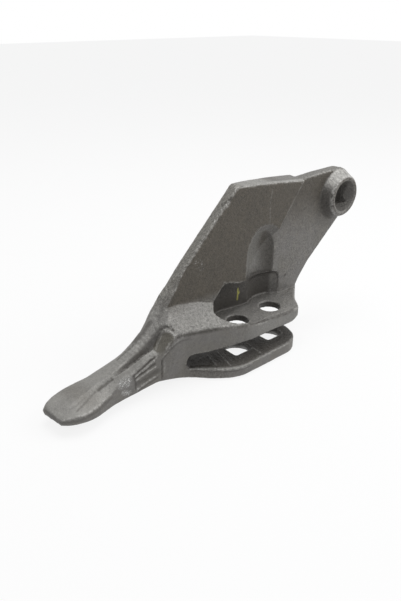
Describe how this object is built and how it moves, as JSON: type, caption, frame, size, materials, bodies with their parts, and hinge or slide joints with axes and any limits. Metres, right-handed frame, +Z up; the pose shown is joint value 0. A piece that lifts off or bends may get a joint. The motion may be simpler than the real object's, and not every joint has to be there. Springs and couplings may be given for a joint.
{
  "type": "bucket side tooth",
  "caption": "Bolt-on side tooth for a digging bucket: a chisel tooth, two jaws that grip the lip plate, and a side wing with a tapered boss.",
  "frame": {"origin": "half way between the two bolt holes, on the flat underside of the lower jaw", "axes": "+X rearwards along the line of the two bolts, away from the tooth; +Y from the open side of the jaws towards the wing; +Z up, along the bolts"},
  "size_m": [0.3616, 0.0645, 0.1629],
  "materials": {
    "as_cast_steel": "as cast steel, dull dark grey, unpainted"
  },
  "bodies": {
    "root": {"side_tooth": "as_cast_steel"}
  },
  "joints": []
}
